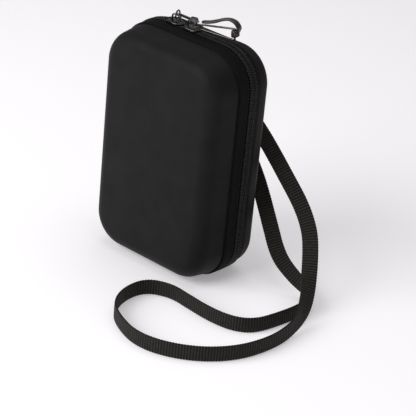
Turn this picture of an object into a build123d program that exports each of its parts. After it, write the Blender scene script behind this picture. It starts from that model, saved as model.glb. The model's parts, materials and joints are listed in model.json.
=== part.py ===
from build123d import *
import os
from math import cos, pi, radians, sin, tan

# Hard zip case for a pocket laser rangefinder, with a wrist strap. Millimetres.
# X is the width, Y the depth with the front lid towards -Y, Z the height.
# Y = 0 is the plane of the fabric hinge, Z = 0 is the floor.

# Case
case_width = 98.0
case_height = 150.0
corner_radius = 24.0
half_width = case_width / 2
mid_height = case_height / 2
shell_inset = 1.2          # the shells sit this far inside the zip band
front_rim = -11.2          # where the lid shell meets its zip tape
front_end = -33.0          # outside of the lid's big face
rear_rim = 7.0
rear_end = 19.0            # outside of the rear face
front_edge_radius = 9.0    # soft edge round the lid's face
rear_edge_radius = 7.5
draft_angle = 8.0          # lean of the moulded side walls, degrees

# Layers of the moulded wall
cover_thickness = 0.6      # knitted outer fabric
core_thickness = 2.4       # EVA foam
lining_thickness = 0.6
wall_inside = cover_thickness + core_thickness + lining_thickness

# Zip
tape_thickness = 1.2
coil_half_width = 3.0      # from the hinge plane to the edge of the coil
front_coil_face, rear_coil_face = -0.45, -0.15   # the closed halves, just apart
coil_thickness = 2.2
slot_half_width = 1.1      # room for the slider posts between the coil halves
slot_from, slot_to = -34.0, 32.0
binding_width = 1.8
binding_depth = 3.0

# Hinge gusset on the -X side
gusset_low = corner_radius + 2.0
gusset_high = case_height - corner_radius - 2.0
gusset_gap = 0.1

# Sliders, in their own frame: origin on top of the zip, tail towards -X
slider_length = 11.0
slider_half_width = 4.2
tail_half_width = 3.3
nose_half_width = 2.2
shoulder_x = 1.5           # widest point of the plates
plate_low, plate_high = 1.0, 2.0
lower_plate_low, lower_plate_high = -4.4, -3.4
post_from, post_to, post_half_width = 1.5, 4.5, 0.7
lip_from, lip_to, lip_low = -4.6, 1.8, 0.2
crown_height = 4.4
crown_half_length = 3.8
crown_bar = 0.8
crown_half_width = 0.7
crown_corner = 2.0
crown_inner_corner = 1.3
left_slider_x = -16.5
right_slider_x = -3.5
link_radius = 2.7          # small ring through the crown
link_wire = 0.5
link_side_step = 1.2       # from the crown's bar to the middle of the ring
hinge_step = 1.4           # from there to the near bar of the pull
link_drop = 0.6            # the left ring's middle, below the crown's top
pull_length = 25.0
pull_wire = 1.2
pull_near_height = 3.8
pull_far_height = 8.2
right_pull_yaw = 12.0
right_pull_lean = -3.3
left_pull_yaw = 15.0
left_pull_droop = 26.0
thong_width = 4.4
thong_thickness = 1.8
thong_drop = 27.0
collar_radius = 2.1        # thong folded round the pull's far bar
collar_hole = 1.0
flop_line = [(1.6, 0.3), (2.4, 4.6), (-1.4, 8.4), (-7.5, 8.0), (-15.0, 5.2), (-22.0, 3.6)]

# Interior
elastic_width = 30.0
elastic_half_length = 37.0
elastic_thickness = 1.0
pocket_top = 72.0
pocket_bottom = 14.0
pocket_half_width = 33.0
mesh_thickness = 0.8
pocket_stand_off = 1.6
pocket_corner = 10.0
pocket_edge_width = 4.0
hem_height = 5.0
elastic_stand_off = 1.0
anchor_length = 7.0

# Strap hardware on the rear face
tab_width = 11.0
tab_bar_z = 126.0
patch_width = 17.0
patch_low, patch_high = 122.5, 137.5
patch_thickness = 1.0
tab_thickness = 1.0
ring_wire = 1.1
ring_half_width = 6.9
ring_depth = 9.0
ring_tilt = 18.0           # the ring leans away from the rear face
ring_corner = 1.9
bow_rise = 5.5             # height of the ring's round end
clasp_tilt = -20.0         # the clasp leans sideways on the ring
hook_radius = 4.2
hook_wire = 1.0
hook_from, hook_turn = 50, 275
clasp_body_radius = 2.5
clasp_body_length = 5.0
pin_y = 3.8                # gate hinge, in front of the clasp's body
pin_radius = 0.5
gate_width = 1.5
swivel_radius = 0.9
ferrule_width = 11.4
ferrule_thickness = 4.4
ferrule_length = 7.0
bar_y = rear_end + patch_thickness + tab_thickness + ring_wire + 0.2

# Wrist strap: webbing 10 mm wide, drawn as a round tube of that width.
# Route of its centre line, from the ferrule down to the floor and back.
strap_radius = 5.0
strap_route = [
    (17.5, 32.5, 98.0), (31.5, 32.5, 88.0), (45.5, 30.5, 78.0), (59.5, 28.5, 67.0),
    (74.0, 28.0, 53.5), (85.5, 24.0, 41.5), (93.0, 17.0, 31.0), (99.5, 9.5, 21.0),
    (107.0, 0.0, 13.0), (113.5, -13.0, 7.0), (117.5, -29.0, 5.0), (118.5, -48.0, 5.0),
    (114.0, -69.0, 5.0), (102.0, -87.0, 5.0), (84.0, -99.5, 5.0), (64.0, -104.0, 5.0),
    (43.5, -97.0, 5.0), (31.0, -88.0, 5.0), (23.5, -72.0, 5.0), (24.5, -54.0, 5.0),
    (39.0, -46.5, 5.0), (54.5, -48.0, 5.0), (73.5, -49.5, 5.0), (90.0, -47.0, 5.0),
    (100.0, -38.5, 5.0), (103.5, -20.5, 5.0), (105.0, -5.5, 5.0), (103.0, 6.0, 5.0),
    (97.5, 14.0, 5.0), (90.5, 18.0, 7.5), (81.0, 17.5, 12.0), (72.0, 16.5, 18.5),
    (65.0, 18.0, 25.0), (59.0, 20.0, 33.0), (51.5, 23.0, 41.5), (44.5, 25.5, 50.0),
    (36.0, 28.0, 60.0), (24.5, 29.5, 73.0), (12.0, 30.5, 85.0),
]


def save(name, shape):
    shape.label = name
    export_step(shape, f"parts/{name}.step")


def outline(inset):
    return RectangleRounded(case_width - 2 * inset, case_height - 2 * inset, corner_radius - inset)


def facing(y, towards):
    return Plane(origin=(0, y, mid_height), x_dir=(1, 0, 0), z_dir=(0, towards, 0))


def block(inset, y_from, y_to):
    towards = 1 if y_to > y_from else -1
    return extrude(facing(y_from, towards) * outline(inset), amount=abs(y_to - y_from))


def band(outer_inset, inner_inset, y_from, y_to):
    return block(outer_inset, y_from, y_to) - block(inner_inset, y_from, y_to)


def dish(inset, rim, end, edge_radius):
    towards = 1 if end > rim else -1
    body = extrude(facing(rim, towards) * outline(inset), amount=abs(end - rim), taper=draft_angle)
    face = body.faces().sort_by(Axis.Y)[-1 if towards > 0 else 0]
    return fillet(face.edges(), edge_radius)


def wall_layer(outside, thickness, rim, end, edge_radius):
    towards = 1 if end > rim else -1
    inside = outside + thickness
    outer = dish(shell_inset + outside, rim, end - towards * outside, edge_radius - outside)
    inner = dish(shell_inset + inside, rim, end - towards * inside, edge_radius - inside)
    return outer - inner


def brick(x, y, z):
    return Location(((x[0] + x[1]) / 2, (y[0] + y[1]) / 2, (z[0] + z[1]) / 2)) * Box(
        x[1] - x[0], y[1] - y[0], z[1] - z[0]
    )


def hinge_side_cut():
    return brick((-half_width - 1, -half_width + 6), (-60, 60), (gusset_low, gusset_high))


def build_shells():
    sides = (
        ("front", front_rim, front_end, front_edge_radius),
        ("rear", rear_rim, rear_end, rear_edge_radius),
    )
    for side, rim, end, edge_radius in sides:
        save(f"{side}_cover", wall_layer(0, cover_thickness, rim, end, edge_radius))
        save(f"{side}_core", wall_layer(cover_thickness, core_thickness, rim, end, edge_radius))
        depth = cover_thickness + core_thickness
        save(f"{side}_lining", wall_layer(depth, lining_thickness, rim, end, edge_radius))


def build_zip():
    slot_y = (-slot_half_width, slot_half_width)
    slot = brick((slot_from, slot_to), slot_y, (case_height - 14, case_height + 1))
    sides = (("front", front_rim, -1, front_coil_face), ("rear", rear_rim, 1, rear_coil_face))
    for side, rim, towards, coil_face in sides:
        coil_edge = towards * coil_half_width
        tape = band(0, tape_thickness, coil_edge, rim) - hinge_side_cut()
        save(f"{side}_zip_tape", tape)
        coil = band(0, coil_thickness, coil_face, coil_edge) - hinge_side_cut() - slot
        save(f"{side}_zip_coil", coil)
        inner = rim - towards * binding_width
        save(f"{side}_binding", band(shell_inset + 0.02, shell_inset + binding_depth, inner, rim))
        gusset_y = sorted((towards * gusset_gap, rim))
        gusset = brick((-half_width, -half_width + tape_thickness), gusset_y, (gusset_low, gusset_high))
        save(f"{side}_hinge_gusset", gusset)


def slider_body():
    half = slider_length / 2
    side = [(-half, tail_half_width), (shoulder_x, slider_half_width), (half, nose_half_width)]
    mirrored = [(x, -y) for x, y in reversed(side)]
    profile = make_face(Polyline(*side, *mirrored, close=True))
    profile = fillet(profile.vertices(), 0.7)
    upper = extrude(Location((0, 0, plate_low)) * profile, amount=plate_high - plate_low)
    lower_thickness = lower_plate_high - lower_plate_low
    lower = extrude(Location((0, 0, lower_plate_low)) * profile, amount=lower_thickness)
    post_z = (lower_plate_low + 0.2, plate_low + 0.2)
    post = brick((post_from, post_to), (-post_half_width, post_half_width), post_z)
    body = upper + lower + post
    for y in (-3.2, 2.5):
        body += brick((lip_from, lip_to), (y, y + 0.7), (lip_low, plate_low + 0.1))
    return body


def slider_crown():
    lying = Plane(origin=(0, 0, 0), x_dir=(1, 0, 0), z_dir=(0, -1, 0))
    outer = Location((0, crown_height / 2)) * Rectangle(2 * crown_half_length, crown_height)
    outer = fillet(outer.vertices().sort_by(Axis.Y)[-2:], crown_corner)
    inner_height = crown_height - crown_bar
    inner = Location((0, inner_height / 2)) * Rectangle(2 * (crown_half_length - crown_bar), inner_height)
    inner = fillet(inner.vertices().sort_by(Axis.Y)[-2:], crown_inner_corner)
    arch = extrude(lying * (outer - inner), amount=crown_half_width, both=True)
    return Location((0, 0, plate_high)) * arch


def pull_frame():
    # Lies along +X from its near bar at the origin, its width along local Y
    near, far = pull_near_height / 2, pull_far_height / 2
    w = pull_wire
    start = -w / 2
    outer = Polyline((start, -near), (pull_length, -far), (pull_length, far), (start, near), close=True)
    far_x, near_x = pull_length - w, start + w
    near_y, far_y = near - w, far - w
    window = Polyline((near_x, -near_y), (far_x, -far_y), (far_x, far_y), (near_x, near_y), close=True)
    outer_face = fillet(make_face(outer).vertices(), 1.1)
    inner_face = fillet(make_face(window).vertices(), 0.5)
    return extrude(outer_face - inner_face, amount=w / 2, both=True)


def thong_collar(length):
    # Sleeve round the pull's far bar, along local Z
    return Cylinder(collar_radius, length) - Cylinder(collar_hole, length + 1)


def strip_outline(line):
    # Flat outline of a strip bent along a line in its own plane
    count = 14
    side = thong_thickness / 2
    left, right = [], []
    for i in range(count + 1):
        point, along = line @ (i / count), line % (i / count)
        normal = Vector(-along.Y, along.X)
        left.append(point + normal * side)
        right.append(point - normal * side)
    edges = [Spline(*left), Line(left[-1], right[-1]), Spline(*reversed(right)), Line(right[0], left[0])]
    return make_face(edges)


def build_right_slider():
    seat = Location((right_slider_x, 0, case_height)) * Rotation(0, 0, 180)
    save("right_slider_body", seat * slider_body())
    save("right_slider_crown", seat * slider_crown())
    link_x = right_slider_x + crown_half_length - crown_bar / 2 + link_side_step
    link_z = case_height + plate_high + crown_height - crown_corner
    save("right_pull_link", Location((link_x, 0, link_z)) * Torus(link_radius, link_wire))
    # The frame stands on its long edge along the zip
    turned = Rotation(0, 0, right_pull_yaw) * Rotation(0, right_pull_lean, 0)
    hinge = Location((link_x + hinge_step, 0, link_z)) * turned
    save("right_pull_frame", hinge * Rotation(90, 0, 0) * pull_frame())
    bar = hinge * Location((pull_length - pull_wire / 2, 0, 0))
    collar = bar * thong_collar(pull_far_height - 2 * pull_wire - 0.5)
    half = thong_width / 2
    flop = Plane(origin=(0, half, 0), x_dir=(1, 0, 0), z_dir=(0, -1, 0))
    ribbon = flop * strip_outline(Spline(*flop_line))
    save("right_pull_thong", collar + bar * extrude(ribbon, amount=thong_width))


def build_left_slider():
    seat = Location((left_slider_x, 0, case_height))
    save("left_slider_body", seat * slider_body())
    save("left_slider_crown", seat * slider_crown())
    turn = seat * Rotation(0, 0, left_pull_yaw)
    link_y, link_z = link_side_step, plate_high + crown_height - link_drop
    link = Rotation(0, 90, 0) * Torus(link_radius, link_wire)
    save("left_pull_link", turn * Location((0, link_y, link_z)) * link)
    hinge = turn * Location((0, link_y + hinge_step, link_z)) * Rotation(-left_pull_droop, 0, 0)
    save("left_pull_frame", hinge * Rotation(0, 0, 90) * pull_frame())
    bar = hinge * Location((0, pull_length - pull_wire / 2, 0))
    collar = bar * Rotation(0, 90, 0) * thong_collar(pull_far_height - 2 * pull_wire - 0.5)
    strip_y = (-0.2, thong_thickness - 0.2)
    strip = brick((-thong_width / 2, thong_width / 2), strip_y, (-thong_drop, -1.6))
    strip = fillet(strip.edges().filter_by(Axis.Y).group_by(Axis.Z)[0], thong_width / 2 - 0.3)
    save("left_pull_thong", collar + bar * Rotation(left_pull_droop, 0, 0) * strip)


def round_bottom(panel, radius):
    return fillet(panel.edges().filter_by(Axis.Y).group_by(Axis.Z)[0], radius)


def build_interior():
    base_inside = rear_end - wall_inside
    y = (base_inside - elastic_stand_off - elastic_thickness, base_inside - elastic_stand_off)
    z = (mid_height - elastic_width / 2, mid_height + elastic_width / 2)
    save("elastic_band", brick((-elastic_half_length, elastic_half_length), y, z))
    anchors = []
    for side in (-1, 1):
        x = sorted((side * elastic_half_length, side * (elastic_half_length - anchor_length)))
        anchors.append(brick(x, (y[1], base_inside), z))
    save("elastic_anchors", Compound(anchors))

    lid_inside = front_end + wall_inside
    mesh_y = (lid_inside + pocket_stand_off, lid_inside + pocket_stand_off + mesh_thickness)
    full = (-pocket_half_width, pocket_half_width)
    w = pocket_edge_width
    panel = brick(full, mesh_y, (pocket_bottom, pocket_top))
    save("mesh_pocket", round_bottom(panel, pocket_corner))
    edge = brick(full, (lid_inside, mesh_y[0]), (pocket_bottom, pocket_top))
    inner = (w - pocket_half_width, pocket_half_width - w)
    hollow = brick(inner, (lid_inside - 1, 0), (pocket_bottom + w, pocket_top + 1))
    save("pocket_binding", round_bottom(edge, pocket_corner) - round_bottom(hollow, pocket_corner - w))
    save("pocket_hem", brick(full, (mesh_y[0], mesh_y[1] + 0.8), (pocket_top, pocket_top + hem_height)))


def build_strap_tab():
    x = (-patch_width / 2, patch_width / 2)
    patch = brick(x, (rear_end, rear_end + patch_thickness), (patch_low, patch_high))
    save("tab_patch", fillet(patch.edges().filter_by(Axis.Y), 2.5))
    side = Plane(origin=(-tab_width / 2, 0, 0), x_dir=(0, 1, 0), z_dir=(1, 0, 0))
    loop_radius = ring_wire + 0.2 + tab_thickness
    face_y = rear_end + patch_thickness
    loop = Location((bar_y, tab_bar_z)) * Circle(loop_radius)
    stitched_y, top = face_y + 2 * tab_thickness, patch_high - 2
    shank = make_face(Polyline(
        (face_y, tab_bar_z), (bar_y + loop_radius - 0.2, tab_bar_z + 0.8), (stitched_y, tab_bar_z + 5),
        (stitched_y, top), (face_y, top), close=True))
    eye = Location((bar_y, tab_bar_z)) * Circle(ring_wire + 0.2)
    profile = loop + shank - eye
    save("strap_tab", extrude(side * profile, amount=tab_width))


def ring_place():
    return Location((0, bar_y, tab_bar_z)) * Rotation(ring_tilt, 0, 0)


def clasp_place():
    return ring_place() * Location((0, 0, -ring_depth)) * Rotation(0, clasp_tilt, 0)


def build_ring_and_clasp():
    upright = Plane(origin=(0, 0, 0), x_dir=(1, 0, 0), z_dir=(0, -1, 0))
    w, d = ring_half_width, ring_depth
    low = bow_rise - d
    shape = make_face([
        Line((-w, 0), (w, 0)), Line((w, 0), (w, low)),
        ThreePointArc((w, low), (0, -d), (-w, low)), Line((-w, low), (-w, 0))])
    path = upright * fillet(shape.vertices(), ring_corner)
    wire = path.face().outer_wire()
    section = Plane(origin=wire @ 0, z_dir=wire % 0) * Circle(ring_wire)
    save("d_ring", ring_place() * sweep(section, path=wire))

    # Clasp, hanging along -Z from the ring's bow; the hook's plane is YZ
    place = clasp_place()
    centre_z = -(hook_radius - hook_wire - ring_wire - 0.2)
    side = Plane(origin=(0, 0, centre_z), x_dir=(0, 1, 0), z_dir=(1, 0, 0))
    arc = side * CenterArc((0, 0), hook_radius, hook_from, hook_turn)
    tip = Plane(origin=arc @ 0, z_dir=arc % 0)
    hook = sweep(tip * Circle(hook_wire), path=arc)
    hook += Location(arc @ 0) * Sphere(hook_wire)
    body_top = centre_z - hook_radius + 0.4
    body_low = body_top - clasp_body_length
    hook += Location((0, 0, (body_top + body_low) / 2)) * Cylinder(clasp_body_radius, body_top - body_low)
    pin_z = body_top - 0.6
    across = Location((0, pin_y, pin_z)) * Rotation(0, 90, 0)
    hook += brick((-1.9, 1.9), (0.0, pin_y + 1.1), (pin_z - 1.4, pin_z + 1.0))
    slot = brick((-0.95, 0.95), (pin_y - 1.5, pin_y + 2.0), (pin_z - 1.1, pin_z + 2.5))
    bore = across * Cylinder(pin_radius, 6)
    pocket = Location((0, 0, body_low + 1.5)) * Cylinder(1.35, 1.4)
    neck = Location((0, 0, body_low)) * Cylinder(1.0, 2.4)
    save("clasp_hook", place * (hook - slot - bore - pocket - neck))
    save("gate_pin", place * across * Cylinder(pin_radius, 3.8))

    # Gate, closing the hook's mouth from just under its tip
    tip_angle = radians(38)
    tip_y, tip_z = hook_radius * cos(tip_angle), centre_z + hook_radius * sin(tip_angle) - 0.9
    foot = [(pin_y - 0.8, pin_z), (pin_y + 0.8, pin_z)]
    head = [(tip_y + 1.0, tip_z), (tip_y - 0.6, tip_z)]
    lever = make_face(Polyline(*foot, *head, close=True))
    side_face = Plane(origin=(-gate_width / 2, 0, 0), x_dir=(0, 1, 0), z_dir=(1, 0, 0))
    gate = extrude(side_face * lever, amount=gate_width)
    gate += across * Cylinder(0.8, gate_width)
    gate -= across * Cylinder(pin_radius + 0.05, 4)
    save("clasp_gate", place * gate)

    post_top = body_low + 1.9
    post_low = body_low - 1.2
    post = Location((0, 0, (post_top + post_low) / 2)) * Cylinder(swivel_radius, post_top - post_low)
    post += Location((0, 0, post_top - 0.35)) * Cylinder(1.25, 0.7)
    post += Location((0, 0, post_low + 0.4)) * Cylinder(2.2, 0.8)
    save("clasp_swivel", place * post)
    low = post_low - ferrule_length
    half_width_x, half_depth = ferrule_width / 2, ferrule_thickness / 2
    ferrule = brick((-half_width_x, half_width_x), (-half_depth, half_depth), (low, post_low))
    ferrule = fillet(ferrule.edges().filter_by(Axis.Z), 1.4)
    ferrule = chamfer(ferrule.faces().sort_by(Axis.Z)[-1].edges(), 0.8)
    throat = brick((-5.1, 5.1), (-1.5, 1.5), (low - 1, post_low - 1.6))
    save("strap_ferrule", place * (ferrule - throat))
    exit_point = place * Location((0, 0, low))
    print("strap leaves the ferrule at", exit_point.position)


def build_wrist_strap():
    points = [Vector(*p) for p in strap_route]
    radii = []
    for before, here, after in zip(points, points[1:], points[2:]):
        arriving, leaving = here - before, after - here
        turn = radians(arriving.get_angle(leaving))
        radii.append(0.45 * min(arriving.length, leaving.length) / tan(turn / 2))
    path = FilletPolyline(*points, radius=radii)
    section = Plane(origin=path @ 0, z_dir=path % 0) * Circle(strap_radius)
    tube = sweep(section, path=path)
    save("wrist_strap", tube)
    print("strap arc radii", [round(r) for r in radii])
    print("strap length", round(path.length, 1), "volume ratio",
          round(tube.volume / (pi * strap_radius ** 2 * path.length), 4))


os.makedirs("parts", exist_ok=True)
build_shells()
build_zip()
build_right_slider()
build_left_slider()
build_interior()
build_strap_tab()
build_ring_and_clasp()
build_wrist_strap()
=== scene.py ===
import bmesh
import bpy
import json
import math
import random
import numpy as np
from mathutils import Matrix, Vector


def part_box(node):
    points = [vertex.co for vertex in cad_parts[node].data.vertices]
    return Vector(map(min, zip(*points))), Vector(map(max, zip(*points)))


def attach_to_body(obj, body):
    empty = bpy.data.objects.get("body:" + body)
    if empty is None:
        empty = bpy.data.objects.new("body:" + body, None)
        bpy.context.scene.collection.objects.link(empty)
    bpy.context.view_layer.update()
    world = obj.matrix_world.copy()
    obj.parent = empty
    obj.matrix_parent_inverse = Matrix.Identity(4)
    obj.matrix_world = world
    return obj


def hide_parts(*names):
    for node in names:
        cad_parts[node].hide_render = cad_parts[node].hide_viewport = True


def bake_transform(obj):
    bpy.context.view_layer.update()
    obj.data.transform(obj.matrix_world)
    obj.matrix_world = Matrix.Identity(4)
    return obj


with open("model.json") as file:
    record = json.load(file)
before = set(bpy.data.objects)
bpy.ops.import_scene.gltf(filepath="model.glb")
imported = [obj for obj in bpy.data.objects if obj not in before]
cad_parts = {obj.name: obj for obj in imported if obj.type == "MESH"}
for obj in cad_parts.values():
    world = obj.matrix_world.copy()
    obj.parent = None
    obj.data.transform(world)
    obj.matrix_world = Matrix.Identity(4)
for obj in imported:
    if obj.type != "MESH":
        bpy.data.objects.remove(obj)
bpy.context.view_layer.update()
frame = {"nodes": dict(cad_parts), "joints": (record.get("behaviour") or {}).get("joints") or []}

MM = 0.001      # lengths in this script are millimetres, unless they go to a light or the camera


def box(node):
    """The low and high corner of a CAD node, in millimetres."""
    return tuple(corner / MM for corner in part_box(node))


def pivot(joint):
    """Where a joint turns, in millimetres."""
    return Vector(joints[joint]["pos_m"]) / MM


# Sizes of the case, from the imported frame
joints = {joint["name"]: joint for joint in frame["joints"]}
tape_low, tape_high = box("rear_zip_tape")
front_tape_low, front_tape_high = box("front_zip_tape")
width, height = tape_high.x - tape_low.x, tape_high.z - tape_low.z
half_width, half_height = width / 2, height / 2
corner_radius = 24.0
rear_coil_edge, front_coil_edge = tape_low.y, front_tape_high.y
rear_rim, front_rim = tape_high.y, front_tape_low.y
front_end, rear_end = box("front_cover")[0].y, box("rear_cover")[1].y
gusset_low, gusset_high = (corner.z for corner in box("rear_hinge_gusset"))


# ---------------------------------------------------------------- mesh tools

def piece(name, points, faces, material, lay=None):
    """A smooth mesh from points in millimetres; lay holds its cloth coordinates in metres."""
    mesh = bpy.data.meshes.new(name)
    mesh.from_pydata([tuple(float(c) * MM for c in p) for p in points], [], faces)
    if lay is not None:
        store = mesh.attributes.new("lay", "FLOAT_VECTOR", "POINT")
        store.data.foreach_set("vector", np.asarray(lay, np.float32).ravel())
    mesh.materials.append(material)
    mesh.shade_smooth()
    mesh.update()
    obj = bpy.data.objects.new(name, mesh)
    bpy.context.scene.collection.objects.link(obj)
    return obj


def attach(obj, body, slot, *nodes):
    """Rides on a body, and stands for the CAD nodes that are named."""
    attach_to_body(obj, body)
    if nodes:
        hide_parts(*nodes)


def outward(obj):
    """Makes a closed piece's faces look outwards."""
    bm = bmesh.new()
    bm.from_mesh(obj.data)
    bmesh.ops.recalc_face_normals(bm, faces=bm.faces)
    bm.to_mesh(obj.data)
    bm.free()
    return obj


def closed_piece(name, parts, material, body, slot, *nodes):
    """A closed piece from (points, faces) or (points, faces, lay), riding on a body."""
    points, faces, *lay = parts
    attach(outward(piece(name, points, faces, material, *lay)), body, slot, *nodes)


def sew(name, body, slot, *seams):
    attach(piece(name, *merged(seams), sewing_thread), body, slot)


def add_thickness(obj, amount, offset=-1.0):
    solid = obj.modifiers.new("thickness", "SOLIDIFY")
    solid.thickness = amount * MM
    solid.offset = offset


def evaluated_mesh(obj):
    bpy.context.view_layer.update()
    return bpy.data.meshes.new_from_object(obj.evaluated_get(bpy.context.evaluated_depsgraph_get()))


def thicken(obj, amount, offset=-1.0):
    """Gives a sheet its thickness and applies it."""
    add_thickness(obj, amount, offset)
    mesh = evaluated_mesh(obj)
    obj.modifiers.clear()
    obj.data = mesh


def grid_faces(rows, columns, wrap_rows=False, wrap_columns=False):
    faces = []
    for i in range(rows if wrap_rows else rows - 1):
        for j in range(columns if wrap_columns else columns - 1):
            low, high = i * columns, ((i + 1) % rows) * columns
            following = (j + 1) % columns
            faces.append((low + j, low + following, high + following, high + j))
    return faces


def loft_faces(rows, columns, closed=False):
    """Faces along rows of a closed section, with a face over each end unless the rows close."""
    faces = grid_faces(rows, columns, wrap_rows=closed, wrap_columns=True)
    if not closed:
        faces.append(tuple(range(columns))[::-1])
        faces.append(tuple((rows - 1) * columns + k for k in range(columns)))
    return faces


def merged(parts):
    """Joins (points, faces) pairs into one."""
    points, faces = [], []
    for part_points, part_faces in parts:
        start = len(points)
        points.extend(part_points)
        faces.extend(tuple(i + start for i in face) for face in part_faces)
    return points, faces


def circle(radius, count, other=None):
    """Points round a circle, or an ellipse when other is its second half size."""
    angles = [2 * math.pi * k / count for k in range(count)]
    return [(radius * math.cos(a), (other or radius) * math.sin(a)) for a in angles]


def tube_parts(path, radius, closed=False, sides=12, flat=1.0, across=None):
    """A round or flattened rod along a path, with rounded ends where it is open."""
    path = [Vector(p) for p in path]
    count = len(path)
    tangents = []
    for i in range(count):
        before = path[(i - 1) % count] if closed or i else path[0]
        after = path[(i + 1) % count] if closed or i < count - 1 else path[-1]
        tangents.append((after - before).normalized())
    side = Vector(across) if across else tangents[0].orthogonal()
    rings = []
    for point, tangent in zip(path, tangents):
        side = (side - tangent * side.dot(tangent)).normalized()
        rings.append((point, side.copy(), tangent.cross(side), 1.0))
    if not closed:
        head, tail = [], []
        for step in (0.25, 0.6, 0.9):
            back, grow = radius * (1 - step), math.sqrt(1 - (1 - step) ** 2)
            head.append((path[0] - tangents[0] * back, *rings[0][1:3], grow))
            tail.insert(0, (path[-1] + tangents[-1] * back, *rings[-1][1:3], grow))
        rings = head + rings + tail
    points = []
    for point, one, two, grow in rings:
        points.extend(point + (one * x + two * y * flat) * radius * grow for x, y in circle(1.0, sides))
    return points, loft_faces(len(rings), sides, closed)


def rounded_path(corners, radius, closed=True, steps=6):
    """A polygon with its corners rounded."""
    corners = [Vector(c) for c in corners]
    count = len(corners)
    path = []
    for i, corner in enumerate(corners):
        if not closed and i in (0, count - 1):
            path.append(corner)
            continue
        arriving = (corner - corners[i - 1]).normalized()
        leaving = (corners[(i + 1) % count] - corner).normalized()
        cut = radius * math.tan(arriving.angle(leaving) / 2)
        start, stop = corner - arriving * cut, corner + leaving * cut
        for k in range(steps + 1):
            t = k / steps
            path.append(start * (1 - t) ** 2 + corner * 2 * t * (1 - t) + stop * t * t)
    return path


def rounded_rectangle(half_x, half_z, radius):
    corners = [(-half_x, -half_z, 0), (half_x, -half_z, 0), (half_x, half_z, 0), (-half_x, half_z, 0)]
    return rounded_path(corners, radius)


def smooth_path(points, steps=8):
    """A Catmull-Rom line through a few points."""
    points = [Vector(p) for p in points]
    path = []
    for i in range(len(points) - 1):
        a, b, c = points[max(i - 1, 0)], points[i], points[i + 1]
        d = points[min(i + 2, len(points) - 1)]
        square, cube = 2 * a - 5 * b + 4 * c - d, 3 * b - a - 3 * c + d
        for k in range(steps):
            t = k / steps
            path.append(0.5 * (2 * b + (c - a) * t + square * t * t + cube * t ** 3))
    path.append(points[-1])
    return path


def plate_parts(outline, low, high, bevel):
    """A flat plate with rounded edges: outline in XY, from low to high."""
    bite = bevel * 0.3
    layers = ((bevel, low), (bite, low + bite), (0, low + bevel),
              (0, high - bevel), (bite, high - bite), (bevel, high))
    centre = sum((Vector(p) for p in outline), Vector((0, 0))) / len(outline)
    points = []
    for inset, z in layers:
        for p in outline:
            direction = Vector(p) - centre
            point = centre + direction * (1 - inset / max(direction.length, 0.01))
            points.append(Vector((point.x, point.y, z)))
    return points, loft_faces(len(layers), len(outline))


def placed(parts, matrix):
    points, faces = parts
    return [matrix @ Vector(p) for p in points], faces


def turn(axis, degrees):
    return Matrix.Rotation(math.radians(degrees), 4, axis)


def move(x, y, z):
    return Matrix.Translation((x, y, z))


def stitch_parts(path, normals, pitch, length, radius):
    """Short thread capsules along a line, each lying a little proud of the cloth.
    normals holds one direction for all of the line, or one for each of its points."""
    if isinstance(normals, tuple):
        normals = [normals] * len(path)
    parts, travelled, due = [], 0.0, pitch / 2
    for a, b, normal in zip(path, path[1:], normals):
        a, b = Vector(a), Vector(b)
        span = (b - a).length
        while span > 0 and due <= travelled + span:
            along = (b - a).normalized()
            centre = a + along * (due - travelled)
            half = along * length / 2
            sunk = Vector(normal) * radius * 0.55
            inner, raised = half * 0.4, centre + sunk * 0.4
            line = [centre - half - sunk, raised - inner, raised + inner, centre + half - sunk]
            parts.append(tube_parts(line, radius, sides=6))
            due += pitch
        travelled += span
    return merged(parts)


def whole_section(quarter, top):
    """A closed section from its first quarter and its top point, mirrored twice."""
    upper = quarter + [top] + [(-a, b) for a, b in quarter[::-1]]
    return upper + [(a, -b) for a, b in upper[-2:0:-1]]


def band_parts(places, section):
    """Sweeps a section along places of (centre, width direction, face direction, half width,
    half thickness, distance), with cloth coordinates in metres."""
    points, lay = [], []
    for centre, across, normal, wide, thick, along in places:
        for a, b in section:
            points.append(centre + across * a * wide + normal * b * thick)
            lay.append((along * MM, a * wide * MM, 0))
    return points, loft_faces(len(places), len(section)), lay


soft_edge = whole_section([(1.0, 0.0), (0.97, 0.55), (0.86, 0.9), (0.5, 1.0)], (0.0, 1.04))


def strip_parts(path, acrosses, half_wide, half_thick, taper=None):
    """A soft strip: rounded edges, its width along the given directions."""
    path = [Vector(p) for p in path]
    count = len(path)
    places, along = [], 0.0
    for i, point in enumerate(path):
        tangent = (path[min(i + 1, count - 1)] - path[max(i - 1, 0)]).normalized()
        across = Vector(acrosses[i])
        across = (across - tangent * across.dot(tangent)).normalized()
        if i:
            along += (point - path[i - 1]).length
        scale = taper(i / (count - 1)) if taper else 1.0
        thick = half_thick * min(1, scale * 1.6)
        places.append((point, across, tangent.cross(across), half_wide * scale, thick, along))
    return band_parts(places, soft_edge)


# ------------------------------------------------------- outline of the case

straight_side = height - 2 * corner_radius
straight_top = width - 2 * corner_radius
arc = math.pi * corner_radius / 2
perimeter = 2 * straight_side + 2 * straight_top + 4 * arc
zip_start = gusset_high - half_height
zip_stop = perimeter - zip_start


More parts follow.
